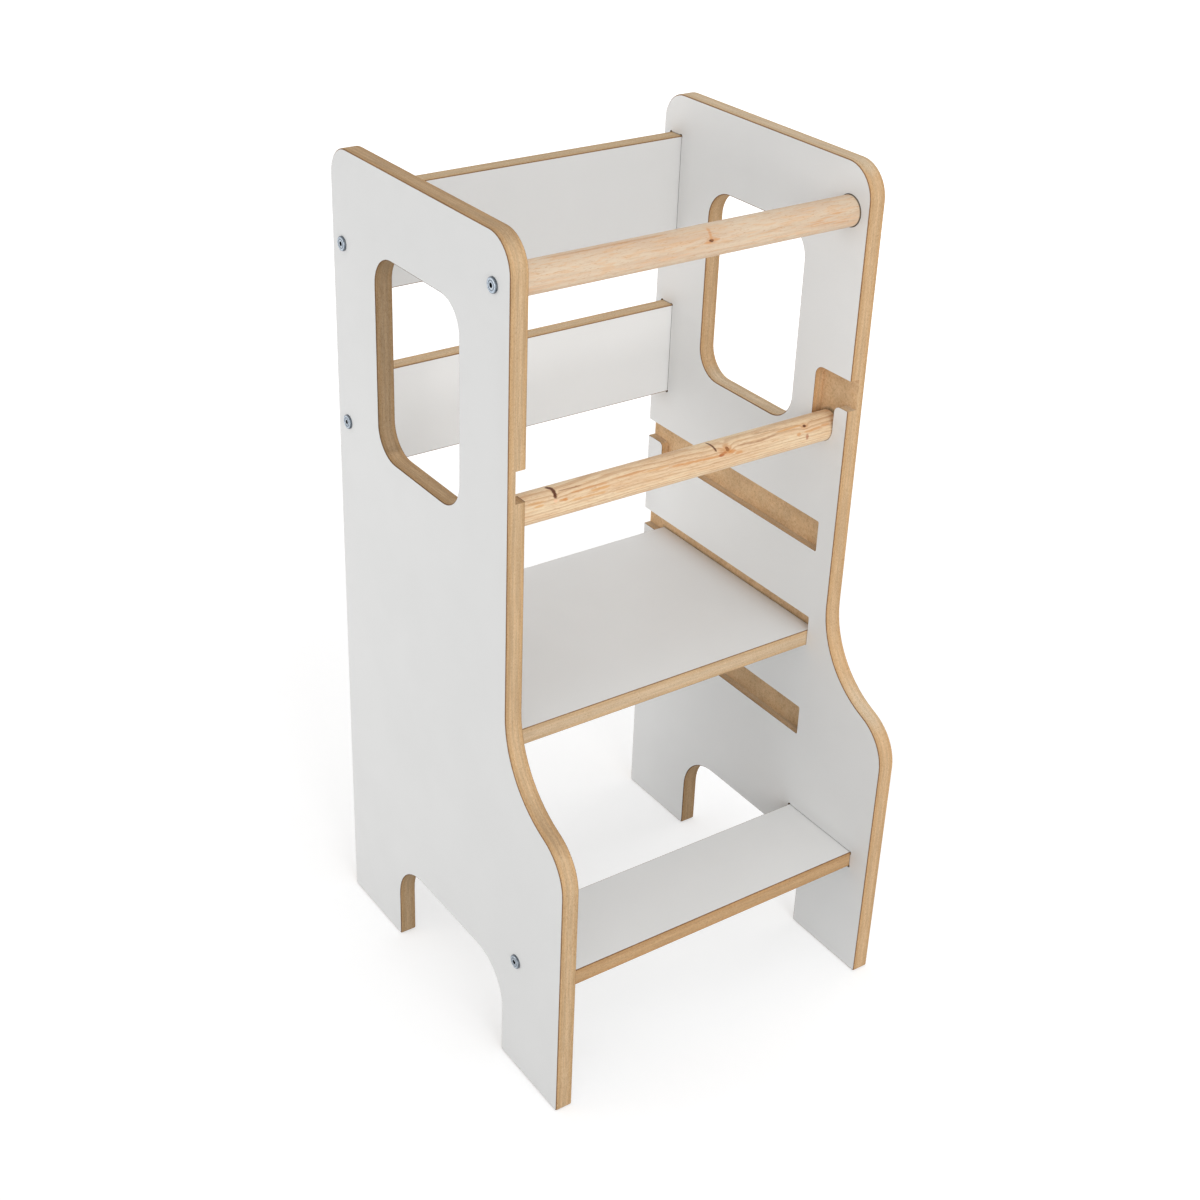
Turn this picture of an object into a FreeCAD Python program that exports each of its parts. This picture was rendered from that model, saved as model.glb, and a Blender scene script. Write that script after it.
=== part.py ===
"""Kitchen helper tower for a small child.

Two white-faced board panels carry two back boards, a front step, a fixed top
rail, a lift-out safety bar and a platform that hangs in one of three grooves.
The frame: millimetres, +Z up, X across the tower, the entry at -Y and the back
boards at +Y, with the origin on the floor under the middle of the tower.
"""
import FreeCAD
import Part
import math
import os

from FreeCAD import Vector

# ---------------------------------------------------------------- whole tower
WIDTH = 421.0            # over the outer faces of the side panels
HEIGHT = 900.0
TOP_DEPTH = 327.5        # front to back, above the platform
BASE_DEPTH = 433.5       # front to back, at the feet
BOARD_T = 19.0           # one board stock for every flat piece
EDGE_ROUND = 1.5         # eased edge between a white face and the bare edge

# ----------------------------------------------------- outline of a side panel
# A drop is measured down from the top of the panels, so the guard round the
# child keeps its height over the ledges. An inset runs in from the named edge.
TOP_REAR_R = 31.0
TOP_FRONT_R = 35.0
SHOULDER_DROP = 548.0    # to where the upper front line would meet the slope
SHOULDER_FALL = 41.0     # of the slope, over the reach of the feet
SHOULDER_LOW_R = 54.0
SHOULDER_FLAT = 4.0      # straight run between the upper and the lower curve
REAR_FOOT_L = 110.0
FRONT_FOOT_L = 106.5
ARCH_H = 109.0
ARCH_R = 50.0
FOOT_R = 3.0

WINDOW_L = 156.0         # front to back
WINDOW_H = 211.0
WINDOW_DROP = 85.5       # to its upper side
WINDOW_R = 32.0

# --------------------------------------------------- grooves for the platform
LEDGE_COUNT = 3
LEDGE_DROP = 421.3       # to the highest ledge
LEDGE_PITCH = 116.1
PLATFORM_LEDGE = 1       # ledge in use, counted from 0 at the top
GROOVE_H = 35.8
GROOVE_DEPTH = 9.5
GROOVE_INSET = 25.5      # closed end, from the upper front edge
GROOVE_R = 2.0
LIP_L = 26.6             # raised stop at the rear of each ledge
LIP_H = 14.0
LIP_R = 5.0
PLATFORM_PLAY = 0.7      # to the lip and to the closed front end
PLATFORM_END_PLAY = 1.0  # to the floor of the groove, each side

# ------------------------------------------------------- slat pieces, one size
SLAT_W = 105.0
UPPER_BOARD_DROP = 43.7
LOWER_BOARD_DROP = 234.8
BOARD_INSET = 11.5       # rear faces of the back boards, from the rear edge
STEP_TOP_Z = 150.0
STEP_INSET = 27.5        # its front, from the front edge at the feet
HOUSING_DEPTH = 5.0      # how far a slat end is let into the panel
HOUSING_PLAY = 0.3
HOUSING_RELIEF_R = 2.5   # round relief at the corners of a housing

# ---------------------------------------------------------------------- rails
RAIL_D = 31.0
RAIL_INSET = 27.5        # its axis, from the upper front edge
RAIL_DROP = 48.5
RAIL_SOCKET_DEPTH = 8.0
RAIL_SOCKET_PLAY = 0.8

BAR_D = 31.0
BAR_INSET = 36.4         # its axis, from the upper front edge
BAR_DROP = 279.2         # to its axis as it lies in its slots
BAR_PLAY = 1.0           # to the walls of the slot
BAR_REST_GAP = 0.3       # between the bar and the bottom of the slot
BAR_END_PLAY = 1.0
BAR_END_R = 2.0
SLOT_DEPTH = 11.0
TONGUE_RISE = 29.2       # stop in front of the bar, above the bar's axis
TONGUE_R = 8.0
SLOT_TOP_R = 11.0

# ------------------------------------------------------------------ fasteners
HEAD_D = 15.0            # the head lies on the panel's outer face
HEAD_T = 2.4
HEAD_ROUND = 1.0
HEAD_RING_D = 9.6        # shallow ring turned in the head
HEAD_RING_W = 0.6
HEAD_RING_DEPTH = 0.4
SOCKET_AF = 4.0          # hexagon socket, across flats
SOCKET_DEPTH = 2.2
BOLT_D = 6.0
BOLT_L = 50.0            # under the head
BOLT_TIP = 1.0
BOLT_HOLE_PLAY = 0.5
NUT_D = 10.0             # barrel nut across the bolt
NUT_L = 14.0
NUT_PLAY = 0.05
NUT_THREAD_PLAY = 0.05
NUT_SETBACK = 30.0       # nut axis from the end of the slat or rail
NUT_SLOT_W = 1.4
NUT_SLOT_DEPTH = 1.2

# -------------------------------------------------------------- derived places
CLEAR = 5.0              # how far a cutter reaches past the face that it opens
OUTER_X = WIDTH / 2
INNER_X = OUTER_X - BOARD_T
HOUSING_X = INNER_X + HOUSING_DEPTH
RAIL_END_X = INNER_X + RAIL_SOCKET_DEPTH

REAR_Y = BASE_DEPTH / 2
LOW_FRONT_Y = REAR_Y - BASE_DEPTH
TOP_FRONT_Y = REAR_Y - TOP_DEPTH
LIP_Y = REAR_Y - LIP_L
GROOVE_END_Y = TOP_FRONT_Y + GROOVE_INSET

# The upper curve of the shoulder takes what the lower one leaves of the slope.
SHOULDER_REACH = BASE_DEPTH - TOP_DEPTH
SHOULDER_TURN = math.atan2(SHOULDER_REACH, SHOULDER_FALL)
SLOPE_L = math.hypot(SHOULDER_REACH, SHOULDER_FALL)
SHOULDER_TOP_R = (SLOPE_L - SHOULDER_FLAT) / math.tan(SHOULDER_TURN / 2) - SHOULDER_LOW_R
SHOULDER_TOP_Z = HEIGHT - SHOULDER_DROP
SHOULDER_LOW_Z = SHOULDER_TOP_Z - SHOULDER_FALL

BOARD_Y = REAR_Y - BOARD_INSET - BOARD_T / 2
UPPER_BOARD_Z = HEIGHT - UPPER_BOARD_DROP - SLAT_W / 2
LOWER_BOARD_Z = HEIGHT - LOWER_BOARD_DROP - SLAT_W / 2
STEP_Y = LOW_FRONT_Y + STEP_INSET + SLAT_W / 2
STEP_Z = STEP_TOP_Z - BOARD_T / 2
RAIL_Y = TOP_FRONT_Y + RAIL_INSET
RAIL_Z = HEIGHT - RAIL_DROP
BAR_Y = TOP_FRONT_Y + BAR_INSET
BAR_Z = HEIGHT - BAR_DROP

# Bolted joints on each side: name -> (y, z) of the bolt axis.
FASTENED = {
    "upper_back": (BOARD_Y, UPPER_BOARD_Z),
    "lower_back": (BOARD_Y, LOWER_BOARD_Z),
    "top_rail": (RAIL_Y, RAIL_Z),
    "step": (STEP_Y, STEP_Z),
}
# Where each joint's nut goes in: back boards from behind, the others from below.
FORWARD = Vector(0, -1, 0)
UPWARD = Vector(0, 0, 1)
NUT_AXIS = {"upper_back": FORWARD, "lower_back": FORWARD, "top_rail": UPWARD, "step": UPWARD}


# ------------------------------------------------------------ shared geometry
def rounded_wire(corners, x):
    """Closed wire in the plane X = x from corners (y, z, radius)."""
    ends = []
    for i, (y, z, radius) in enumerate(corners):
        here = Vector(x, y, z)
        before = Vector(x, *corners[i - 1][:2]) - here
        after = Vector(x, *corners[(i + 1) % len(corners)][:2]) - here
        before.normalize()
        after.normalize()
        half = before.getAngle(after) / 2
        reach = radius / math.tan(half)
        inward = before + after
        inward.normalize()
        mid = here + inward * (radius / math.sin(half) - radius)
        ends.append((here + before * reach, mid, here + after * reach, radius))
    edges = []
    for i, (start, mid, end, radius) in enumerate(ends):
        if radius > 0:
            edges.append(Part.Arc(start, mid, end).toShape())
        following = ends[(i + 1) % len(ends)][0]
        if end.distanceToPoint(following) > 1e-6:
            edges.append(Part.LineSegment(end, following).toShape())
    return Part.Wire(edges)


def prism(corners, x_from, x_to):
    """Solid of one outline in the YZ plane, between two X planes."""
    face = Part.Face(rounded_wire(corners, x_from))
    return face.extrude(Vector(x_to - x_from, 0, 0))


def rod(radius, x_from, x_to, y, z):
    """Cylinder along X."""
    return Part.makeCylinder(radius, x_to - x_from, Vector(x_from, y, z), Vector(1, 0, 0))


def edges_along_x(solid):
    """Straight edges that run across the tower."""
    return [e for e in solid.Edges
            if e.BoundBox.XLength > 1 and e.BoundBox.YLength < 0.01 and e.BoundBox.ZLength < 0.01]


def mirrored(shape):
    """The same piece for the other side of the tower."""
    return shape.mirror(Vector(0, 0, 0), Vector(1, 0, 0))


def one_solid(shape):
    """The single solid of a cut, as the piece to export."""
    solids = shape.Solids
    if len(solids) != 1 or not shape.isValid():
        raise ValueError("a piece came out as %d solids" % len(solids))
    return solids[0]


# ---------------------------------------------------------------- side panels
def panel_outline():
    """Side view of a panel: straight back, shouldered front, arch between feet."""
    arch_rear = REAR_Y - REAR_FOOT_L
    arch_front = LOW_FRONT_Y + FRONT_FOOT_L
    return [
        (REAR_Y, 0, FOOT_R),
        (REAR_Y, HEIGHT, TOP_REAR_R),
        (TOP_FRONT_Y, HEIGHT, TOP_FRONT_R),
        (TOP_FRONT_Y, SHOULDER_TOP_Z, SHOULDER_TOP_R),
        (LOW_FRONT_Y, SHOULDER_LOW_Z, SHOULDER_LOW_R),
        (LOW_FRONT_Y, 0, FOOT_R),
        (arch_front, 0, FOOT_R),
        (arch_front, ARCH_H, ARCH_R),
        (arch_rear, ARCH_H, ARCH_R),
        (arch_rear, 0, FOOT_R),
    ]


def window_outline():
    """Window midway between the upper front edge and the rear edge."""
    middle = (REAR_Y + TOP_FRONT_Y) / 2
    rear = middle + WINDOW_L / 2
    front = middle - WINDOW_L / 2
    top = HEIGHT - WINDOW_DROP
    bottom = top - WINDOW_H
    return [
        (rear, bottom, WINDOW_R),
        (rear, top, WINDOW_R),
        (front, top, WINDOW_R),
        (front, bottom, WINDOW_R),
    ]


def ledge_z(i):
    """Top of one ledge, counted from 0 at the top."""
    return HEIGHT - LEDGE_DROP - i * LEDGE_PITCH


def groove_outline(i):
    """Groove over one ledge: open at the rear above the lip, closed in front."""
    open_rear = REAR_Y + CLEAR
    floor = ledge_z(i)
    roof = floor + GROOVE_H
    return [
        (open_rear, roof, 0),
        (GROOVE_END_Y, roof, GROOVE_R),
        (GROOVE_END_Y, floor, GROOVE_R),
        (LIP_Y, floor, GROOVE_R),
        (LIP_Y, floor + LIP_H, LIP_R),
        (open_rear, floor + LIP_H, 0),
    ]


def slot_outline():
    """Slot for the safety bar: in from the front edge, then down behind a tongue."""
    half = BAR_D / 2 + BAR_PLAY
    rear = BAR_Y + half
    tongue = BAR_Y - half
    open_front = TOP_FRONT_Y - CLEAR
    bottom = BAR_Z - BAR_D / 2 - BAR_REST_GAP
    tongue_top = BAR_Z + TONGUE_RISE
    roof = tongue_top + 2 * half
    return [
        (rear, roof, SLOT_TOP_R),
        (open_front, roof, 0),
        (open_front, tongue_top, 0),
        (tongue, tongue_top, TONGUE_R),
        (tongue, bottom, half),
        (rear, bottom, half),
    ]


def housing_cutter(y, z, length_y, length_z):
    """Shallow housing for a slat end, with round reliefs at its corners."""
    half_y = length_y / 2 + HOUSING_PLAY
    half_z = length_z / 2 + HOUSING_PLAY
    cutter = Part.makeBox(HOUSING_DEPTH + CLEAR, 2 * half_y, 2 * half_z,
                          Vector(INNER_X - CLEAR, y - half_y, z - half_z))
    for side_y in (-1, 1):
        for side_z in (-1, 1):
            relief = rod(HOUSING_RELIEF_R, INNER_X - CLEAR, HOUSING_X,
                         y + side_y * (half_y - HOUSING_RELIEF_R / 2),
                         z + side_z * (half_z - HOUSING_RELIEF_R / 2))
            cutter = cutter.fuse(relief)
    return cutter


def right_panel():
    blank = prism(panel_outline(), INNER_X, OUTER_X)
    blank = blank.cut(prism(window_outline(), INNER_X - CLEAR, OUTER_X + CLEAR))
    face_edges = [e for e in blank.Edges if e.BoundBox.XLength < 0.01]
    blank = blank.makeFillet(EDGE_ROUND, face_edges)

    cutters = [prism(slot_outline(), INNER_X - CLEAR, INNER_X + SLOT_DEPTH)]
    for i in range(LEDGE_COUNT):
        cutters.append(prism(groove_outline(i), INNER_X - CLEAR, INNER_X + GROOVE_DEPTH))
    cutters.append(housing_cutter(BOARD_Y, UPPER_BOARD_Z, BOARD_T, SLAT_W))
    cutters.append(housing_cutter(BOARD_Y, LOWER_BOARD_Z, BOARD_T, SLAT_W))
    cutters.append(housing_cutter(STEP_Y, STEP_Z, SLAT_W, BOARD_T))
    cutters.append(rod(RAIL_D / 2 + RAIL_SOCKET_PLAY, INNER_X - CLEAR, RAIL_END_X, RAIL_Y, RAIL_Z))
    for y, z in FASTENED.values():
        cutters.append(rod(BOLT_D / 2 + BOLT_HOLE_PLAY, INNER_X - CLEAR, OUTER_X + CLEAR, y, z))
    return one_solid(blank.cut(cutters))


# ------------------------------------------------- pieces between the panels
def board(half_x, size_y, size_z, y, z):
    """Flat board across the tower with its four long edges eased."""
    blank = Part.makeBox(2 * half_x, size_y, size_z,
                         Vector(-half_x, y - size_y / 2, z - size_z / 2))
    return blank.makeFillet(EDGE_ROUND, edges_along_x(blank))


def joint_bores(end_x, y, z, nut_axis, nut_depth):
    """Bolt bores and barrel-nut holes at both ends; the nut goes in along nut_axis."""
    bores = []
    bore_end = OUTER_X - BOLT_L - CLEAR
    for side in (-1, 1):
        start = Vector(side * bore_end, y, z)
        bores.append(Part.makeCylinder(BOLT_D / 2 + BOLT_HOLE_PLAY, end_x + CLEAR - bore_end,
                                       start, Vector(side, 0, 0)))
        bottom = Vector(side * (end_x - NUT_SETBACK), y, z) + nut_axis * (NUT_L / 2)
        bores.append(Part.makeCylinder(NUT_D / 2 + NUT_PLAY, nut_depth + CLEAR, bottom, -nut_axis))
    return bores


def slat(y, z, size_y, size_z, nut_axis):
    """A back board or the step, housed in both panels and bolted at its ends."""
    blank = board(HOUSING_X, size_y, size_z, y, z)
    nut_depth = NUT_L / 2 + BOARD_T / 2
    return one_solid(blank.cut(joint_bores(HOUSING_X, y, z, nut_axis, nut_depth)))


def top_rail():
    blank = rod(RAIL_D / 2, -RAIL_END_X, RAIL_END_X, RAIL_Y, RAIL_Z)
    nut_depth = NUT_L / 2 + RAIL_D / 2
    bores = joint_bores(RAIL_END_X, RAIL_Y, RAIL_Z, UPWARD, nut_depth)
    return one_solid(blank.cut(bores))


def safety_bar():
    half = INNER_X + SLOT_DEPTH - BAR_END_PLAY
    blank = rod(BAR_D / 2, -half, half, BAR_Y, BAR_Z)
    rims = [e for e in blank.Edges if e.BoundBox.XLength < 0.01]
    return one_solid(blank.makeFillet(BAR_END_R, rims))


def platform():
    half = INNER_X + GROOVE_DEPTH - PLATFORM_END_PLAY
    depth = LIP_Y - GROOVE_END_Y - 2 * PLATFORM_PLAY
    middle = (LIP_Y + GROOVE_END_Y) / 2
    return one_solid(board(half, depth, BOARD_T, middle, ledge_z(PLATFORM_LEDGE) + BOARD_T / 2))


# ------------------------------------------------------------------ fasteners
def right_bolt(y, z):
    """Connector bolt: flat ringed head with a hexagon socket, plain shank."""
    top_x = OUTER_X + HEAD_T
    head = rod(HEAD_D / 2, OUTER_X, top_x, y, z)
    rim = [e for e in head.Edges if e.BoundBox.XLength < 0.01 and e.BoundBox.XMin > top_x - 0.01]
    head = head.makeFillet(HEAD_ROUND, rim)
    ring = rod(HEAD_RING_D / 2, top_x - HEAD_RING_DEPTH, top_x + CLEAR, y, z)
    ring = ring.cut(rod(HEAD_RING_D / 2 - HEAD_RING_W, top_x - HEAD_RING_DEPTH - CLEAR,
                        top_x + 2 * CLEAR, y, z))
    corner_r = SOCKET_AF / 2 / math.cos(math.pi / 6)
    hexagon = []
    for i in range(6):
        angle = i * math.pi / 3
        hexagon.append((y + corner_r * math.cos(angle), z + corner_r * math.sin(angle), 0))
    socket = prism(hexagon, top_x - SOCKET_DEPTH, top_x + CLEAR)
    tip_x = OUTER_X - BOLT_L
    shank = rod(BOLT_D / 2, tip_x, OUTER_X, y, z)
    tip = [e for e in shank.Edges if e.BoundBox.XLength < 0.01 and e.BoundBox.XMax < tip_x + 0.01]
    shank = shank.makeChamfer(BOLT_TIP, tip)
    return one_solid(head.cut([ring, socket]).fuse(shank))


def right_nut(end_x, y, z, nut_axis):
    """Barrel nut at the bottom of its hole, with a screwdriver slot facing out."""
    x = end_x - NUT_SETBACK
    inner_end = Vector(x, y, z) + nut_axis * (NUT_L / 2)
    nut = Part.makeCylinder(NUT_D / 2, NUT_L, inner_end, -nut_axis)
    thread = rod(BOLT_D / 2 + NUT_THREAD_PLAY, x - NUT_D, x + NUT_D, y, z)
    outer_end = inner_end - nut_axis * NUT_L
    inward = FreeCAD.Placement(outer_end, FreeCAD.Rotation(UPWARD, nut_axis))
    slot = Part.makeBox(2 * NUT_D, NUT_SLOT_W, NUT_SLOT_DEPTH + CLEAR)
    slot.translate(Vector(-NUT_D, -NUT_SLOT_W / 2, -CLEAR))
    slot.Placement = inward * slot.Placement
    return one_solid(nut.cut([thread, slot]))


def fasteners():
    pieces = {}
    for joint, (y, z) in FASTENED.items():
        end_x = RAIL_END_X if joint == "top_rail" else HOUSING_X
        bolt = right_bolt(y, z)
        nut = right_nut(end_x, y, z, NUT_AXIS[joint])
        pieces["right_%s_bolt" % joint] = bolt
        pieces["right_%s_barrel_nut" % joint] = nut
        pieces["left_%s_bolt" % joint] = mirrored(bolt)
        pieces["left_%s_barrel_nut" % joint] = mirrored(nut)
    return pieces


def build():
    panel = right_panel()
    pieces = {
        "right_side_panel": panel,
        "left_side_panel": mirrored(panel),
        "upper_back_board": slat(BOARD_Y, UPPER_BOARD_Z, BOARD_T, SLAT_W, FORWARD),
        "lower_back_board": slat(BOARD_Y, LOWER_BOARD_Z, BOARD_T, SLAT_W, FORWARD),
        "step": slat(STEP_Y, STEP_Z, SLAT_W, BOARD_T, UPWARD),
        "top_rail": top_rail(),
        "safety_bar": safety_bar(),
        "platform": platform(),
    }
    pieces.update(fasteners())
    return pieces


os.makedirs("parts", exist_ok=True)
for name, shape in build().items():
    shape.exportStep("parts/%s.step" % name)
    box = shape.optimalBoundingBox(False, False)
    print("%-30s %7.1f x %6.1f x %6.1f mm  %10.0f mm3"
          % (name, box.XLength, box.YLength, box.ZLength, shape.Volume))
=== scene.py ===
"""Looks of the kitchen helper tower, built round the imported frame."""
import math

import bpy
from mathutils import Matrix, Vector


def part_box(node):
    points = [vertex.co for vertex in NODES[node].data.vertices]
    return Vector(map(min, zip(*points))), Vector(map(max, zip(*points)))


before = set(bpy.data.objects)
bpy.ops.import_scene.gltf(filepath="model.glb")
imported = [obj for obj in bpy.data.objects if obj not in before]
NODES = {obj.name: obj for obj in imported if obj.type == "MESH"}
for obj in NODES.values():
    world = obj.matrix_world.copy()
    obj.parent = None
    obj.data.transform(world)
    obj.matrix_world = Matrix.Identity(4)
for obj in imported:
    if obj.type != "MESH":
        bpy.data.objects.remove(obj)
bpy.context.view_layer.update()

# ------------------------------------------------------------------ places
MM = 0.001
BOARD_T = 19.0 * MM                  # thickness of every board
HALF_T = BOARD_T / 2
PANEL_OUTER_X = 0.2105
PANEL_X = PANEL_OUTER_X - HALF_T     # middle of a side panel's thickness
PANEL_INNER_X = PANEL_X - HALF_T
RING_R = 4.5 * MM                    # middle of the ring turned in a bolt head
RIM_R = 6.3 * MM, 7.3 * MM           # from the bolt head's face to its rounded rim
SOCKET_R = 2.2 * MM, 2.8 * MM        # from the bolt's socket to the head's face


def middle(node):
    low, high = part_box(node)
    return (low + high) / 2


# ------------------------------------------------------------------ camera
IMAGE = 1200.0                       # side of the photograph in pixels
SENSOR_MM = 36.0
CAMERA = {
    "place": (-0.99910, -1.35368, 1.41172),
    "azimuth": -33.5736, "elevation": 28.8754, "roll": 1.2472,
    "focal_px": 1848.42, "centre_px": (540.5, 556.5),
}


def direction(azimuth, elevation):
    """Away from the tower; azimuth 0 is the entry side, angles in degrees."""
    turn, rise = math.radians(azimuth), math.radians(elevation)
    return Vector((math.sin(turn) * math.cos(rise), -math.cos(turn) * math.cos(rise),
                   math.sin(rise)))


def make_camera():
    roll = math.radians(CAMERA["roll"])
    back = direction(CAMERA["azimuth"], CAMERA["elevation"])
    level = (-back).cross(Vector((0, 0, 1))).normalized()
    upright = level.cross(-back)
    right = math.cos(roll) * level + math.sin(roll) * upright
    up = math.cos(roll) * upright - math.sin(roll) * level
    data = bpy.data.cameras.new("camera")
    data.sensor_width = SENSOR_MM
    data.lens = CAMERA["focal_px"] / IMAGE * SENSOR_MM
    data.shift_x = 0.5 - CAMERA["centre_px"][0] / IMAGE
    data.shift_y = CAMERA["centre_px"][1] / IMAGE - 0.5
    data.clip_start, data.clip_end = 0.05, 50.0
    camera = bpy.data.objects.new("camera", data)
    turn = Matrix((right, up, back)).transposed()
    camera.matrix_world = Matrix.Translation(Vector(CAMERA["place"])) @ turn.to_4x4()
    bpy.context.scene.collection.objects.link(camera)
    bpy.context.scene.camera = camera


make_camera()
bpy.context.scene.view_settings.view_transform = "Standard"


# ------------------------------------------------------------------- nodes
# Sockets of the mix node, which has one set for each kind of data.
MIX_AMOUNT = 0
VECTOR_A, VECTOR_B, VECTOR_OUT = 4, 5, 1
COLOUR_A, COLOUR_B, COLOUR_OUT = 6, 7, 2


class Graph:
    """A small helper that adds shader nodes and joins them."""

    def __init__(self, tree):
        self.tree = tree
        tree.nodes.clear()

    def add(self, kind, inputs=None, **settings):
        node = self.tree.nodes.new(kind)
        for name, value in settings.items():
            setattr(node, name, value)
        for name, value in (inputs or {}).items():
            self.put(node.inputs[name], value)
        return node

    def put(self, socket, value):
        if isinstance(value, bpy.types.NodeSocket):
            self.tree.links.new(value, socket)
        elif value is not None:
            socket.default_value = value

    def math(self, operation, a, b=None):
        node = self.add("ShaderNodeMath", operation=operation)
        self.put(node.inputs[0], a)
        self.put(node.inputs[1], b)
        return node.outputs[0]

    def vector(self, operation, a, b=None):
        node = self.add("ShaderNodeVectorMath", operation=operation)
        self.put(node.inputs[0], a)
        self.put(node.inputs[1], b)
        return node.outputs["Value" if operation == "LENGTH" else "Vector"]

    def place(self):
        return self.add("ShaderNodeTexCoord").outputs["Object"]

    def split(self, vector):
        return self.add("ShaderNodeSeparateXYZ", {"Vector": vector}).outputs

    def join(self, x, y, z):
        return self.add("ShaderNodeCombineXYZ", {"X": x, "Y": y, "Z": z}).outputs[0]

    def noise(self, vector, scale, detail=2.0, roughness=0.5):
        return self.add("ShaderNodeTexNoise", {
            "Vector": vector, "Scale": scale, "Detail": detail,
            "Roughness": roughness}).outputs["Fac"]

    def ramp(self, value, low, high, low_to=0.0, high_to=1.0, kind="SMOOTHSTEP"):
        """low_to where value is low or less, high_to where it is high or more."""
        node = self.add("ShaderNodeMapRange", interpolation_type=kind)
        for name, number in (("Value", value), ("From Min", low), ("From Max", high),
                             ("To Min", low_to), ("To Max", high_to)):
            self.put(node.inputs[name], number)
        return node.outputs["Result"]

    def blend(self, amount, a, b, how="MIX"):
        node = self.add("ShaderNodeMix", data_type="RGBA", blend_type=how)
        self.put(node.inputs[MIX_AMOUNT], amount)
        self.put(node.inputs[COLOUR_A], a)
        self.put(node.inputs[COLOUR_B], b)
        return node.outputs[COLOUR_OUT]

    def blend_normals(self, amount, a, b):
        node = self.add("ShaderNodeMix", data_type="VECTOR")
        self.put(node.inputs[MIX_AMOUNT], amount)
        self.put(node.inputs[VECTOR_A], a)
        self.put(node.inputs[VECTOR_B], b)
        return node.outputs[VECTOR_OUT]

    def times(self, colour, factor):
        """A colour multiplied by a factor or by another colour."""
        return self.blend(1.0, colour, factor, "MULTIPLY")

    def moved(self, place, seed):
        """A place moved by the seed, so that no two pieces share their noise."""
        return self.vector("ADD", place, (seed, seed * 0.7, seed * 1.3))

    def centred(self, value, span):
        """A noise value, moved to lie round zero and scaled."""
        return self.math("MULTIPLY", self.math("SUBTRACT", value, 0.5), span)

    def from_axis(self, parts, axis_yz):
        """Distance from a line along X; parts is a split place."""
        dy = self.math("SUBTRACT", parts["Y"], axis_yz[0])
        dz = self.math("SUBTRACT", parts["Z"], axis_yz[1])
        squares = self.math("ADD", self.math("MULTIPLY", dy, dy), self.math("MULTIPLY", dz, dz))
        return self.math("SQRT", squares)

    def box_reach(self, place, low, high):
        """Distance outside a box, zero inside it."""
        centre = tuple((a + b) / 2 for a, b in zip(low, high))
        half = tuple((b - a) / 2 for a, b in zip(low, high))
        away = self.vector("ABSOLUTE", self.vector("SUBTRACT", place, centre))
        away = self.vector("MAXIMUM", self.vector("SUBTRACT", away, half), (0.0, 0.0, 0.0))
        return self.vector("LENGTH", away)

    def rod_reach(self, place, axis_yz, radius):
        """Distance outside a round rod along X, zero inside it."""
        off_axis = self.from_axis(self.split(place), axis_yz)
        return self.math("MAXIMUM", self.math("SUBTRACT", off_axis, radius), 0.0)

    def bump(self, height, strength, distance):
        return self.add("ShaderNodeBump", {"Strength": strength, "Distance": distance,
                                           "Height": height}).outputs[0]

    def seen_directly(self):
        """One for rays from the camera, or from it by a mirror or through glass."""
        path = self.add("ShaderNodeLightPath").outputs
        return self.math("MAXIMUM",
                         self.math("MAXIMUM", path["Is Camera Ray"], path["Is Glossy Ray"]),
                         path["Is Transmission Ray"])

    def output(self, kind, shader):
        self.tree.links.new(shader.outputs[0], self.add(kind).inputs["Surface"])

    def surface(self, **inputs):
        shader = self.add("ShaderNodeBsdfPrincipled",
                          {name.replace("_", " "): value for name, value in inputs.items()})
        self.output("ShaderNodeOutputMaterial", shader)
        return shader


def linear(r, g, b):
    """An sRGB colour, 0 to 255, as linear light."""
    def one(value):
        value /= 255.0
        return value / 12.92 if value <= 0.04045 else ((value + 0.055) / 1.055) ** 2.4
    return (one(r), one(g), one(b), 1.0)


def new_material(name, shown):
    """A material and its graph; shown is its colour in Blender's solid view."""
    material = bpy.data.materials.new(name)
    material.use_nodes = True
    material.diffuse_color = shown
    return material, Graph(material.node_tree)


def assign(node_name, material):
    mesh = NODES[node_name].data
    if not mesh.materials:
        mesh.materials.append(material)
    for i in range(len(mesh.materials)):
        mesh.materials[i] = material


# ------------------------------------------------- white-faced fibreboard
WHITE = linear(226, 226, 225)                # a white face in Blender's solid view
FIBRE = linear(211, 180, 142)
FIBRE_OUTER = linear(203, 165, 120)          # denser layers near the faces
FIBRE_PALE = linear(228, 204, 172)
FIBRE_DARK = linear(150, 112, 74)
FIBRE_CLOUD = linear(196, 160, 118)
FIBRE_FLECK = linear(116, 80, 48)
BOARD_SPECULAR = 0.3


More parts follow.
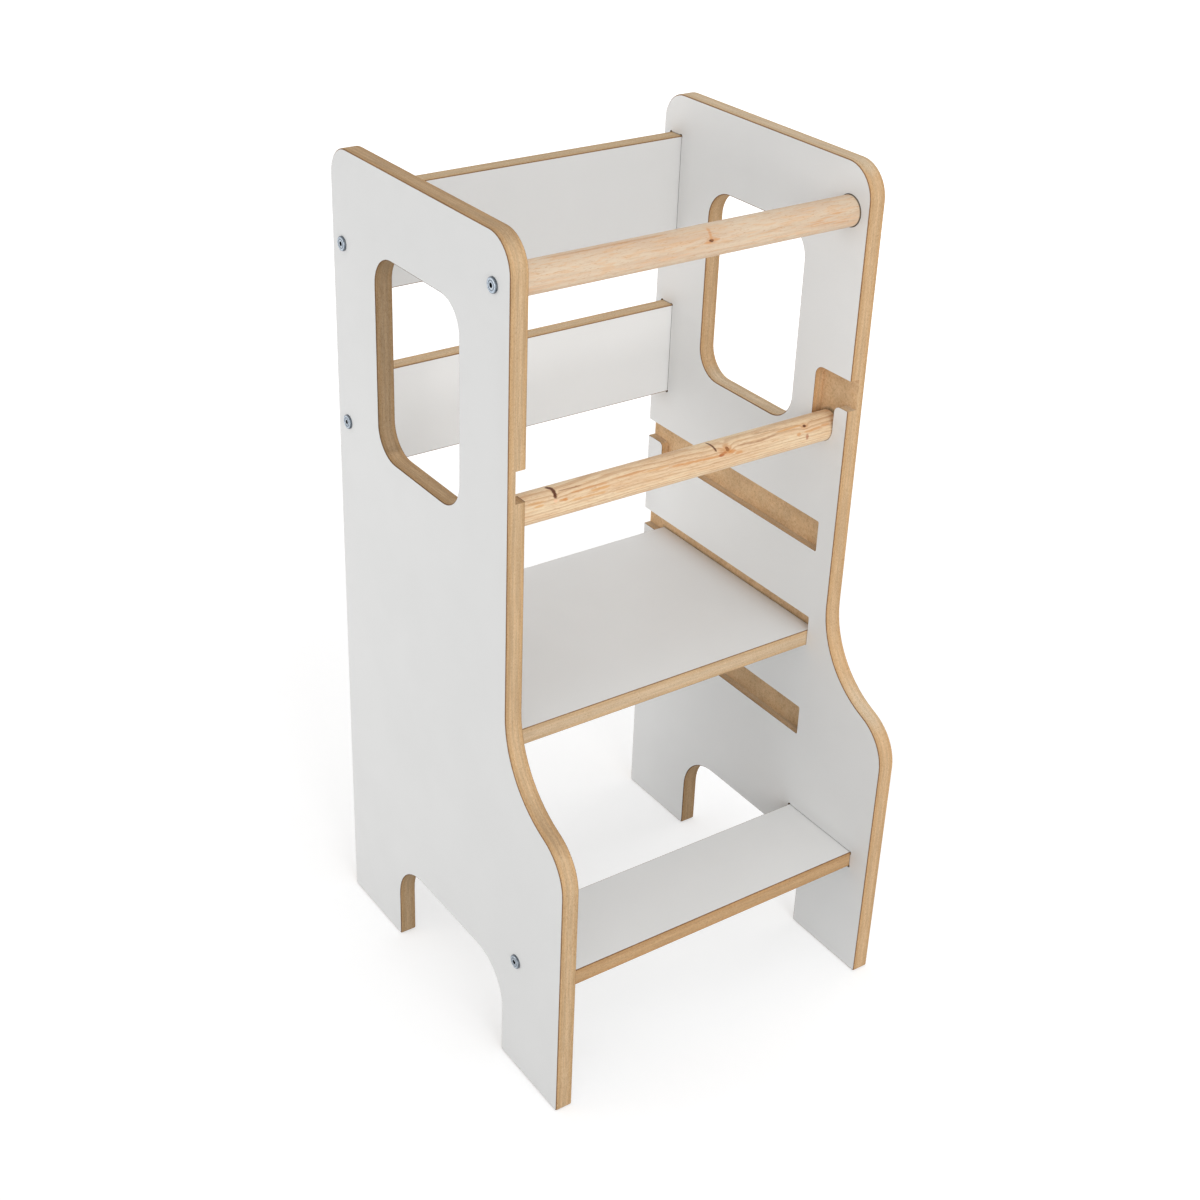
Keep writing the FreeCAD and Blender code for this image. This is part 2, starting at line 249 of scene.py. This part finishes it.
def board_material(name, axis, centre, seed, tone_with_painted_light, painted_upward_light, streak, face_grey_and_painted_light,
                   seams, loose, openings):
    """White faces across one axis; bare fibreboard on every edge and in every recess.

    Tone colours the bare board, partly with the board's own colour and partly with painted
    light, and painted_upward_light is painted light on its edges that look up. Streak is how
    strongly the pressed layers show as stripes along the edges, and face the grey of the white
    faces,
    0 to 255, which also stands in for how brightly each board is lit. Seams are the pieces
    let into the board and loose the pieces that lie in it, both as functions that give the
    distance from the piece; the bare board beside them gets painted shade. An opening is
    (function, share of the colour left under painted shade on its cut edges that do not look
    up).
    """
    material, g = new_material(name, WHITE)
    place = g.place()
    across = g.split(place)[axis]
    if axis == "X":
        across = g.math("ABSOLUTE", across)
    offset = g.math("ABSOLUTE", g.math("SUBTRACT", across, centre))
    depth_mm = g.math("MULTIPLY", g.math("SUBTRACT", HALF_T, offset), 1.0 / MM)

    shifted = g.moved(place, seed)
    ragged = g.math("SUBTRACT", g.noise(shifted, 700.0, 2.0), 0.5)
    fibre_mask = g.ramp(g.math("ADD", depth_mm, g.math("MULTIPLY", ragged, 0.05)), 0.03, 0.07)

    def stretched(along_axis, along_face):
        scale = tuple(along_axis if letter == axis else along_face for letter in "XYZ")
        return g.vector("MULTIPLY", shifted, scale)

    # Fibreboard: layers along the faces, short fibres, clouds and a few dark flecks.
    layers = g.noise(stretched(1300.0, 60.0), 1.0, 3.0, 0.6)
    stripes = g.noise(stretched(420.0, 16.0), 1.0, 3.0, 0.7)
    fibres = g.noise(stretched(1500.0, 420.0), 1.0, 3.0, 0.7)
    clouds = g.noise(shifted, 45.0, 3.0, 0.6)
    specks = g.noise(shifted, 950.0, 2.0, 0.6)
    wavering = g.math("ADD", depth_mm, g.centred(clouds, 3.0))
    colour = g.blend(g.ramp(wavering, 1.0, 7.5), FIBRE_OUTER, FIBRE)
    colour = g.blend(g.ramp(layers, 0.42, 0.72, 0.0, 0.35), colour, FIBRE_OUTER)
    colour = g.blend(g.ramp(fibres, 0.50, 0.72, 0.0, 0.50), colour, FIBRE_PALE)
    colour = g.blend(g.ramp(fibres, 0.50, 0.30, 0.0, 0.45), colour, FIBRE_DARK)
    colour = g.blend(g.ramp(clouds, 0.40, 0.70, 0.0, 0.25), colour, FIBRE_CLOUD)
    colour = g.blend(g.ramp(specks, 0.63, 0.72, 0.0, 0.60), colour, FIBRE_FLECK)
    skin_line = g.math("ADD", depth_mm, g.math("MULTIPLY", ragged, 0.5))
    colour = g.blend(g.ramp(skin_line, 0.45, 1.05, 0.8, 0.0), colour, FIBRE_FLECK)
    colour = g.times(colour, g.ramp(stripes, 0.34, 0.66, 1.0 - streak, 1.0 + streak))
    facing = g.split(g.add("ShaderNodeNewGeometry").outputs["Normal"])
    # Painted light: the edges that look up get their own tint; the bare board's tone elsewhere
    # also carries painted light.
    upward = g.ramp(facing["Z"], 0.6, 0.95)
    colour = g.times(colour, g.blend(upward, (*tone_with_painted_light, 1.0), (*painted_upward_light, 1.0)))
    # The milled floors of the recesses are paler; low down, under the platform, they get painted
    # shade instead.
    milled = g.ramp(g.math("ABSOLUTE", facing[axis]), 0.6, 0.95)
    milled_tone_and_shade = g.ramp(g.split(place)["Z"], 0.30, 0.42, 0.96, 1.11)
    colour = g.blend(milled, colour, g.times(colour, milled_tone_and_shade))
    seam_reaches = [seam(g, place) for seam in seams]
    # Painted shade on the bare board beside each let-in piece and each loose piece.
    for reach in seam_reaches:
        colour = g.times(colour, g.ramp(reach, 0.5 * MM, 3.5 * MM, 0.30, 1.0))
    for piece in loose:
        colour = g.times(colour, g.ramp(piece(g, place), 0.5 * MM, 3.5 * MM, 0.70, 1.0))
    # Painted shade on the cut edges of the openings, except where they look up.
    for opening, shaded_share in openings:
        opening_shade = g.ramp(opening(g, place), 0.0, 2.0 * MM, shaded_share, 1.0)
        colour = g.times(colour, g.math("MAXIMUM", opening_shade, upward))

    # White face: an even grey with a faint mottle and a fine texture of the roller; the grey is
    # set per board and is partly painted light.
    mottle = g.noise(shifted, 9.0, 2.0)
    white = g.blend(g.ramp(mottle, 0.3, 0.7), linear(face_grey_and_painted_light - 1, face_grey_and_painted_light - 1, face_grey_and_painted_light - 2),
                    linear(face_grey_and_painted_light + 1, face_grey_and_painted_light + 1, face_grey_and_painted_light))
    # On the panel's inner face, a painted shadow line and a faint painted shade round each let-in
    # piece.
    inside = g.ramp(across, centre - 2.0 * MM, centre + 2.0 * MM, 1.0, 0.0)
    for reach in seam_reaches:
        shadow_line = g.math("MULTIPLY", g.ramp(reach, 0.4 * MM, 1.3 * MM, 0.42, 1.0),
                      g.ramp(reach, 0.0, 24.0 * MM, 0.94, 1.0))
        white = g.blend(inside, white, g.times(white, shadow_line))
    whole = g.blend(fibre_mask, white, colour)

    face_bump = g.bump(g.noise(shifted, 1100.0, 2.0), 0.06, 0.2 * MM)
    fibre_height = g.math("ADD", fibres, g.math("MULTIPLY", layers, 0.6))
    fibre_bump = g.bump(fibre_height, 0.5, 0.3 * MM)
    normal = g.blend_normals(fibre_mask, face_bump, fibre_bump)
    worn = g.ramp(g.noise(shifted, 35.0, 3.0), 0.3, 0.7, -0.04, 0.05)
    rough = g.math("ADD", g.ramp(fibre_mask, 0.0, 1.0, 0.45, 0.85, "LINEAR"), worn)
    shader = g.surface(Base_Color=whole, Roughness=rough, Normal=normal)
    shader.inputs["Specular IOR Level"].default_value = BOARD_SPECULAR
    return material


# ---------------------------------------------------------------- pine rails
KNOT_BROWN = linear(92, 48, 24)
LATE_BROWN = linear(150, 98, 60)
RED_BROWN = linear(160, 84, 46)
RESIN = linear(206, 138, 74)
AMBER = linear(214, 156, 92)
PALE_SWIRL = linear(238, 192, 154)
PORE = linear(186, 136, 92)
PINE_SPECULAR = 0.35
SWELL_FALL = 0.14                    # how fast the swelling round a knot dies away
RING_STEP = 7.31                     # puts each growth ring at its own place in the noise


def pine_material(name, centre, shade_x, pith, spacing, tones, ring_amount, wisp_scale,
                  wisp_amount, knots, marks, seed):
    """Turned pine: growth rings round an off-centre pith, pores, knots and marks.

    Places are measured from the rail's centre. A knot is (place, size, bend): the
    rings swell round it by bend. A mark is (place, size, colour, strength). Painted
    shade darkens the rail at shade_x from its middle, in its socket or at its end in the slot.
    """
    light, blush, wisp, dark = tones
    material, g = new_material(name, light)
    local = g.vector("SUBTRACT", g.place(), centre)
    parts = g.split(local)
    shifted = g.moved(local, seed)

    def grain(along, round_it, detail=2.0, roughness=0.5):
        """Noise drawn out along the rail; both numbers are features in a metre."""
        drawn_out = g.vector("MULTIPLY", shifted, (along, round_it, round_it))
        return g.noise(drawn_out, 1.0, detail, roughness)

    # Distance to the pith, bent by slow waves along the rail.
    wave = g.centred(grain(6.0, 14.0), 12.0 * MM)
    fine_wave = g.centred(grain(26.0, 240.0), 1.6 * MM)
    distance = g.math("ADD", g.math("ADD", g.from_axis(parts, pith), wave), fine_wave)
    ragged = g.centred(grain(300.0, 900.0), 0.9)

    def reach_of(place, size):
        return g.vector("LENGTH", g.vector("DIVIDE", g.vector("SUBTRACT", local, place), size))

    eyes = []
    for place, size, bend in knots:
        reach = reach_of(place, size)
        squared = g.math("MULTIPLY", reach, reach)
        swell = g.math("POWER", math.e, g.math("MULTIPLY", squared, -SWELL_FALL))
        distance = g.math("ADD", distance, g.math("MULTIPLY", swell, bend))
        eyes.append(g.math("ADD", reach, ragged))

    turns = g.math("DIVIDE", distance, spacing)
    phase = g.math("FRACT", turns)
    ring_number = g.math("FLOOR", turns)
    strong = g.noise(g.join(g.math("MULTIPLY", ring_number, RING_STEP), seed, 0.0), 1.0, 1.0)
    late = g.math("MULTIPLY", g.ramp(phase, 0.30, 0.90), g.ramp(phase, 0.92, 1.0, 1.0, 0.0))
    late = g.math("MULTIPLY", late, g.ramp(strong, 0.30, 0.70, 0.35, 1.0))
    colour = g.blend(g.ramp(grain(9.0, 70.0, 3.0, 0.6), 0.38, 0.66), light, blush)
    wisps = grain(*wisp_scale, 3.0, 0.62)
    colour = g.blend(g.ramp(wisps, 0.47, 0.63, 0.0, wisp_amount), colour, wisp)
    colour = g.blend(g.math("MULTIPLY", late, ring_amount), colour, dark)
    hairs = grain(55.0, 1100.0, 3.0, 0.65)
    colour = g.blend(g.ramp(hairs, 0.50, 0.72, 0.0, 0.45), colour, dark)
    colour = g.blend(g.ramp(grain(210.0, 1500.0, 1.0), 0.62, 0.72, 0.0, 0.50), colour, PORE)

    for reach in eyes:
        colour = g.blend(g.ramp(reach, 1.0, 3.4, 0.40, 0.0), colour, RESIN)
        colour = g.blend(g.ramp(reach, 0.7, 1.3, 0.95, 0.0), colour, KNOT_BROWN)
    for place, size, paint, strength in marks:
        reach = g.math("ADD", reach_of(place, size), ragged)
        colour = g.blend(g.ramp(reach, 0.5, 1.25, strength, 0.0), colour, paint)

    # Painted light makes the rail paler underneath, and painted shade darkens it where it goes
    # into its socket or ends in its slot.
    colour = g.times(colour, g.ramp(parts["Z"], -7.0 * MM, 4.0 * MM, 1.15, 1.0))
    off_middle = g.math("ABSOLUTE", parts["X"])
    end_shade = g.ramp(off_middle, shade_x - 1.8 * MM, shade_x - 0.2 * MM, 1.0, 0.28)
    colour = g.times(colour, end_shade)

    height = g.math("ADD", g.math("MULTIPLY", late, -0.5), g.math("MULTIPLY", hairs, -0.8))
    normal = g.bump(height, 0.35, 0.25 * MM)
    rough = g.ramp(hairs, 0.3, 0.8, 0.5, 0.68)
    shader = g.surface(Base_Color=colour, Roughness=rough, Normal=normal)
    shader.inputs["Specular IOR Level"].default_value = PINE_SPECULAR
    return material


def row_of_marks(places, size, colour, strength):
    """A line drawn as a row of overlapping marks."""
    return [(place, size, colour, strength) for place in places]


RAIL_KNOTS = [((0.0128, -0.0146, 0.0052), (0.0027, 0.0019, 0.0014), 0.003)]
RAIL_MARKS = row_of_marks(
    [(0.0132, -0.0135, 0.0076), (0.0134, -0.0112, 0.0107), (0.0136, -0.0080, 0.0132)],
    (0.0019, 0.0028, 0.0028), RESIN, 0.48)
RAIL_MARKS += row_of_marks(
    [(0.0080, -0.0150, 0.0040), (0.0190, -0.0146, 0.0053)], (0.0045, 0.0014, 0.0011), RESIN, 0.60)
# Painted shade: a brownish line along the top of the rail.
RAIL_MARKS += row_of_marks(
    [(-0.1360, -0.0022, 0.0153), (-0.0980, -0.0026, 0.0153), (-0.0588, -0.0030, 0.0152)],
    (0.0300, 0.0016, 0.0010), PORE, 0.45)
RAIL_MARKS += row_of_marks(
    [(0.1380, -0.0153, 0.0022), (0.1500, -0.0149, 0.0042), (0.1640, -0.0142, 0.0062)],
    (0.0090, 0.0010, 0.0008), RESIN, 0.40)
RAIL_MARKS += row_of_marks(
    [(0.1380, -0.0155, 0.0006), (0.1520, -0.0154, -0.0012), (0.1680, -0.0151, -0.0034)],
    (0.0100, 0.0010, 0.0007), RESIN, 0.40)

BAR_KNOTS = [
    ((0.0598, -0.0114, 0.0105), (0.0021, 0.0025, 0.0028), 0.0040),
    ((0.1587, -0.0103, 0.0116), (0.0020, 0.0014, 0.0015), 0.0026),
    ((-0.1420, -0.0100, 0.0120), (0.0009, 0.0012, 0.0012), 0.0030),
]
BAR_MARKS = row_of_marks(                                    # broad hooked crack, left
    [(-0.1442, 0.0006, 0.0155), (-0.1430, -0.0008, 0.0155), (-0.1416, -0.0029, 0.0152),
     (-0.1413, -0.0050, 0.0147), (-0.1414, -0.0071, 0.0138), (-0.1416, -0.0093, 0.0124),
     (-0.1424, -0.0111, 0.0108)],
    (0.0021, 0.0026, 0.0026), KNOT_BROWN, 0.92)
BAR_MARKS += row_of_marks(                                   # fine curved crack, middle
    [(0.0437, 0.0008, 0.0155), (0.0444, -0.0017, 0.0154), (0.0451, -0.0042, 0.0149),
     (0.0458, -0.0069, 0.0138), (0.0464, -0.0095, 0.0123)],
    (0.0012, 0.0028, 0.0028), KNOT_BROWN, 0.88)
BAR_MARKS += row_of_marks(                                   # late wood sweeping off the knot
    [(0.0800, -0.0113, 0.0106), (0.0870, -0.0117, 0.0102), (0.0940, -0.0120, 0.0098),
     (0.1010, -0.0120, 0.0098), (0.1080, -0.0117, 0.0102), (0.1150, -0.0110, 0.0109),
     (0.1220, -0.0101, 0.0118)],
    (0.0066, 0.0009, 0.0009), LATE_BROWN, 0.38)
BAR_MARKS += row_of_marks(
    [(0.1009, -0.0049, 0.0147), (0.1080, -0.0052, 0.0146), (0.1160, -0.0056, 0.0145),
     (0.1234, -0.0059, 0.0143)],
    (0.0070, 0.0010, 0.0008), LATE_BROWN, 0.32)
BAR_MARKS += row_of_marks(
    [(0.1300, -0.0092, 0.0125), (0.1390, -0.0090, 0.0126), (0.1480, -0.0089, 0.0127)],
    (0.0080, 0.0010, 0.0010), AMBER, 0.60)
BAR_MARKS += row_of_marks(
    [(0.0450, -0.0139, 0.0068), (0.0340, -0.0137, 0.0072), (0.0230, -0.0134, 0.0077),
     (0.0110, -0.0131, 0.0082), (-0.0020, -0.0128, 0.0087)],
    (0.0085, 0.0013, 0.0013), RESIN, 0.62)
BAR_MARKS += row_of_marks(
    [(0.1631, -0.0141, 0.0065), (0.1730, -0.0137, 0.0073), (0.1841, -0.0131, 0.0082)],
    (0.0068, 0.0013, 0.0013), RESIN, 0.55)
BAR_MARKS += row_of_marks(
    [(-0.1180, -0.0149, 0.0042), (-0.1060, -0.0150, 0.0039), (-0.0940, -0.0151, 0.0036)],
    (0.0080, 0.0010, 0.0014), AMBER, 0.50)
BAR_MARKS += row_of_marks(
    [(-0.1175, -0.0115, 0.0104), (-0.1040, -0.0112, 0.0107), (-0.0900, -0.0113, 0.0106)],
    (0.0085, 0.0012, 0.0012), RESIN, 0.50)
BAR_MARKS += row_of_marks(
    [(-0.0975, -0.0135, 0.0076), (-0.0879, -0.0135, 0.0075), (-0.1620, -0.0139, 0.0070)],
    (0.0070, 0.0013, 0.0013), AMBER, 0.65)
BAR_MARKS += row_of_marks(
    [(-0.1320, -0.0076, 0.0135), (-0.1250, -0.0078, 0.0134), (-0.1170, -0.0080, 0.0133)],
    (0.0060, 0.0007, 0.0007), LATE_BROWN, 0.65)
BAR_MARKS += [
    ((0.0511, -0.0139, 0.0068), (0.0036, 0.0017, 0.0017), RED_BROWN, 0.90),
    ((0.0551, -0.0132, 0.0081), (0.0034, 0.0016, 0.0016), RED_BROWN, 0.70),
    ((0.0646, -0.0134, 0.0078), (0.0050, 0.0020, 0.0020), RESIN, 0.75),
    ((0.0726, -0.0146, 0.0053), (0.0048, 0.0017, 0.0020), RESIN, 0.60),
    ((0.0560, -0.0124, 0.0093), (0.0090, 0.0050, 0.0050), RESIN, 0.40),
    ((0.1491, -0.0143, 0.0061), (0.0028, 0.0017, 0.0020), RESIN, 0.65),
    ((0.1597, -0.0154, 0.0016), (0.0021, 0.0025, 0.0036), RED_BROWN, 0.65),
    ((-0.1431, -0.0134, 0.0078), (0.0026, 0.0016, 0.0022), PALE_SWIRL, 0.70),
    ((-0.1369, -0.0139, 0.0068), (0.0032, 0.0012, 0.0012), RESIN, 0.55),
    ((-0.1327, -0.0140, 0.0067), (0.0030, 0.0014, 0.0016), RESIN, 0.85),
    ((-0.0560, -0.0102, 0.0117), (0.0200, 0.0013, 0.0013), RESIN, 0.50),
    ((-0.0250, -0.0116, 0.0103), (0.0160, 0.0010, 0.0010), AMBER, 0.50),
    ((-0.0362, -0.0112, -0.0107), (0.0080, 0.0020, 0.0016), RESIN, 0.60),
    ((-0.1640, -0.0120, 0.0098), (0.0100, 0.0016, 0.0016), AMBER, 0.45),
]


# ------------------------------------------------------------------- metal
ZINC = linear(186, 195, 204)
ZINC_DULL = linear(148, 160, 173)
TURNING = 14000.0                    # turning marks on a bolt's head, in radians a metre


def zinc_material(name, axis_yz=None):
    """Zinc with turning marks. On a bolt the ring is darker, the rim gets painted shade and
    painted reflection, and the socket painted shade.
    """
    material, g = new_material(name, ZINC)
    place = g.place()
    marks = g.noise(place, 1800.0, 4.0, 0.6)
    patches = g.noise(place, 500.0, 2.0)
    colour = g.blend(g.ramp(patches, 0.35, 0.65), ZINC, ZINC_DULL)
    if axis_yz:
        radius = g.from_axis(g.split(place), axis_yz)
        turned = g.math("SINE", g.math("MULTIPLY", radius, TURNING))
        colour = g.blend(g.ramp(turned, -1.0, 1.0, 0.0, 0.18), colour, ZINC_DULL)
        off_ring = g.math("ABSOLUTE", g.math("SUBTRACT", radius, RING_R))
        # Painted shade and painted reflection darken the head towards its rim.
        colour = g.times(colour, g.ramp(radius, *RIM_R, 1.0, 0.40))
        colour = g.times(colour, g.ramp(off_ring, 0.2 * MM, 0.7 * MM, 0.45, 1.0))
        # Painted shade in the socket.
        colour = g.times(colour, g.ramp(radius, *SOCKET_R, 0.12, 1.0))
    rough = g.math("ADD", g.ramp(patches, 0.3, 0.7, 0.24, 0.38),
                   g.ramp(marks, 0.3, 0.7, -0.03, 0.05))
    normal = g.bump(marks, 0.25, 0.08 * MM)
    shader = g.surface(Base_Color=colour, Roughness=rough, Normal=normal)
    shader.inputs["Metallic"].default_value = 1.0
    return material


# --------------------------------------------------------- putting them on
def box_around(low, high):
    return lambda g, place: g.box_reach(place, low, high)


def slat_outline(node):
    return box_around(*(tuple(corner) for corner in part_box(node)))


def rod_outline(node):
    low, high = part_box(node)
    centre = middle(node)
    return lambda g, place: g.rod_reach(place, (centre.y, centre.z), (high.z - low.z) / 2)


# Painted shade: little light reaches the bare board beside a let-in piece or a loose
# piece, and a painted shadow line runs round each let-in piece. The cut edges of the
# openings, where they do not look up, get painted shade that the outline does not.
SEAMS = [slat_outline(node) for node in ("upper_back_board", "lower_back_board", "step")]
SEAMS.append(rod_outline("top_rail"))
LOOSE = [rod_outline("safety_bar"), slat_outline("platform")]
FAR = 0.3                            # past both panels
WINDOW = box_around((-FAR, -0.0270, 0.6020), (FAR, 0.1320, 0.8160))
ARCH = box_around((-FAR, -0.1115, -0.0010), (FAR, 0.1080, 0.1100))
OPENINGS = {
    "left_side_panel": [(WINDOW, 0.62), (ARCH, 0.78)],
    "right_side_panel": [(WINDOW, 0.92), (ARCH, 0.66)],
}

# Each board is cut from its own sheet, so its bare edges have their own colour, which also
# carries painted light: axis across the faces, seed, bare colour with painted light, painted
# light on the edges that look up, streak, grey of the white faces with painted light.
BOARDS = {
    "right_side_panel": ("X", 0.37, (0.98, 0.95, 0.91), (0.98, 1.09, 1.25), 0.09, 235),
    "left_side_panel": ("X", 1.91, (0.92, 0.92, 0.91), (0.74, 0.72, 0.69), 0.12, 225),
    "upper_back_board": ("Y", 1.10, (0.96, 0.95, 0.93), (0.89, 0.94, 0.99), 0.08, 224),
    "lower_back_board": ("Y", 2.30, (0.96, 0.95, 0.93), (1.04, 1.10, 1.18), 0.08, 235),
    "step": ("Z", 3.70, (0.855, 0.785, 0.70), (0.855, 0.785, 0.70), 0.08, 236),
    "platform": ("Z", 5.10, (0.99, 1.055, 1.16), (0.99, 1.055, 1.16), 0.08, 230),
}
for node_name, (axis, seed, tone_with_painted_light, painted_upward_light, streak, face_grey_and_painted_light) in BOARDS.items():
    centre = PANEL_X if axis == "X" else middle(node_name)["XYZ".index(axis)]
    panel = node_name in OPENINGS
    assign(node_name, board_material(
        node_name + "_board", axis, centre, seed, tone_with_painted_light, painted_upward_light, streak, face_grey_and_painted_light,
        SEAMS if panel else [], LOOSE if panel else [], OPENINGS.get(node_name, [])))

assign("top_rail", pine_material(
    "top_rail_pine", tuple(middle("top_rail")), PANEL_INNER_X, (0.030, -0.040), 4.8 * MM,
    (linear(218, 198, 173), linear(211, 185, 159), linear(219, 179, 139), linear(188, 149, 112)),
    0.28, (46.0, 360.0), 0.60, RAIL_KNOTS, RAIL_MARKS, 4.2))
assign("safety_bar", pine_material(
    "safety_bar_pine", tuple(middle("safety_bar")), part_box("safety_bar")[1][0],
    (-0.012, -0.046), 3.0 * MM,
    (linear(234, 210, 175), linear(226, 196, 160), linear(222, 178, 130), linear(172, 116, 70)),
    0.52, (60.0, 520.0), 0.38, BAR_KNOTS, BAR_MARKS, 9.4))
for node_name in NODES:
    if node_name.endswith("_bolt"):
        place = middle(node_name)
        assign(node_name, zinc_material(node_name + "_zinc", (place.y, place.z)))
nut_zinc = zinc_material("barrel_nut_zinc")
for node_name in NODES:
    if node_name.endswith("_barrel_nut"):
        assign(node_name, nut_zinc)


# ------------------------------------------------------------ floor and light
FLOOR_REACH = 12.0
FLOOR_DROP = 0.3 * MM                # keeps the floor clear of the soles
AMBIENT = 0.74


def make_floor():
    corners = [(x * FLOOR_REACH, y * FLOOR_REACH, 0)
               for x, y in ((-1, -1), (1, -1), (1, 1), (-1, 1))]
    mesh = bpy.data.meshes.new("floor")
    mesh.from_pydata(corners, [], [(0, 1, 2, 3)])
    floor = bpy.data.objects.new("floor", mesh)
    floor.location.z = -FLOOR_DROP
    bpy.context.scene.collection.objects.link(floor)
    material, g = new_material("floor_paper", linear(240, 240, 240))
    paper = g.add("ShaderNodeBsdfDiffuse", {"Color": (0.6, 0.6, 0.6, 1.0), "Roughness": 0.5})
    # A glow that only direct looks see makes the floor white and leaves the shadow.
    glow = g.ramp(g.vector("LENGTH", g.place()), 0.5, 2.5, 0.47, 0.75)
    lift = g.add("ShaderNodeEmission", {
        "Color": (1, 1, 1, 1), "Strength": g.math("MULTIPLY", g.seen_directly(), glow)})
    both = g.add("ShaderNodeAddShader")
    g.tree.links.new(paper.outputs[0], both.inputs[0])
    g.tree.links.new(lift.outputs[0], both.inputs[1])
    g.output("ShaderNodeOutputMaterial", both)
    mesh.materials.append(material)


def make_world(ambient):
    """White to look at, ambient as light."""
    world = bpy.data.worlds.new("studio")
    world.use_nodes = True
    g = Graph(world.node_tree)
    strength = g.math("ADD", g.math("MULTIPLY", g.seen_directly(), 1.0 - ambient), ambient)
    light = g.add("ShaderNodeBackground", {"Color": (1, 1, 1, 1), "Strength": strength})
    g.output("ShaderNodeOutputWorld", light)
    bpy.context.scene.world = world


def softbox(name, azimuth, elevation, distance, aim, size, power):
    """Square soft lamp; azimuth 0 shines from the entry side, -90 from the left."""
    away = direction(azimuth, elevation)
    data = bpy.data.lights.new(name, "AREA")
    data.shape = "SQUARE"
    data.size = size
    data.energy = power
    lamp = bpy.data.objects.new(name, data)
    lamp.location = Vector(aim) + away * distance
    lamp.rotation_mode = "QUATERNION"
    lamp.rotation_quaternion = away.to_track_quat("Z", "Y")
    bpy.context.scene.collection.objects.link(lamp)


MIDDLE = (0.0, 0.0, 0.45)            # middle of the tower
LAMPS = (   # name, azimuth, elevation, distance, aim, side of the lamp, watts
    ("front_light", -10, 16, 3.2, MIDDLE, 1.6, 32.0),
    ("left_front_light", -45, 10, 3.2, MIDDLE, 1.6, 6.5),
    ("left_rear_light", -96, 15.6, 1.6, (-0.2, 0.6, 0.0), 0.8, 6.7),
    ("right_light", 95, 10, 3.2, MIDDLE, 1.6, 31.0),
    ("top_light", 0, 70, 3.2, MIDDLE, 1.6, 6.0),
)
make_floor()
make_world(AMBIENT)
for lamp in LAMPS:
    softbox(*lamp)
